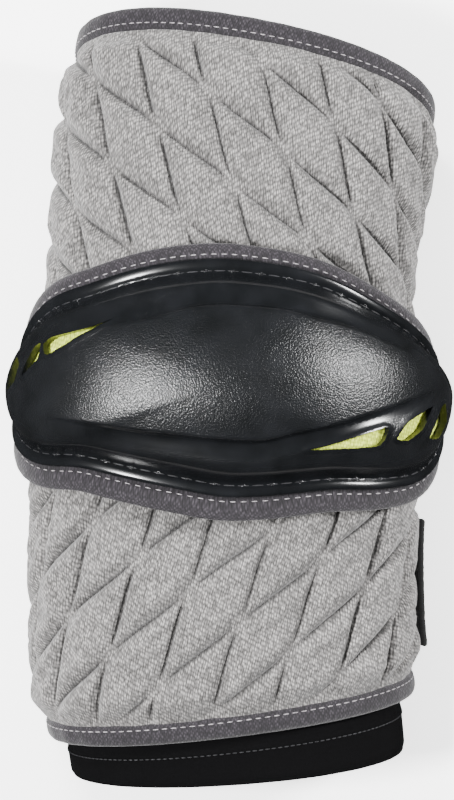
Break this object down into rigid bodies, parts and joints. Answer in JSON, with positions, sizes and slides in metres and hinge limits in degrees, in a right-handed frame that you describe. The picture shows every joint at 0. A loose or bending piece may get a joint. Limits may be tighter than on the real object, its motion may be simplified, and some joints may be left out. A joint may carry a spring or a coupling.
{
  "type": "lacrosse arm pad",
  "caption": "Padded sports arm guard: quilted forearm and upper-arm pads on a stretch sleeve, with a moulded vented elbow cap and a forearm strap.",
  "frame": {"origin": "centre of the bounding box in X and Y, on the table the pad lies on", "axes": "+Y up the arm from wrist to shoulder, +Z from the back of the arm out through the elbow cap, +X to the right as seen from above"},
  "size_m": [0.174, 0.2984, 0.105],
  "materials": {
    "stretch_knit": "matte black stretch knit",
    "quilted_cloth": "heather grey dobby weave over foam, quilted",
    "binding_tape": "dark grey twill tape",
    "liner_foam": "lime mesh over foam",
    "cap_plastic": "pebbled black, half gloss",
    "loop_fabric": "fuzzy black loop"
  },
  "bodies": {
    "root": {"inner_sleeve": "stretch_knit", "upper_pad": "quilted_cloth", "lower_pad": "quilted_cloth", "upper_binding": "binding_tape", "lower_binding": "binding_tape", "cap_rim": "binding_tape", "cap_liner": "liner_foam", "elbow_cap": "cap_plastic", "forearm_strap": "loop_fabric"}
  },
  "joints": []
}
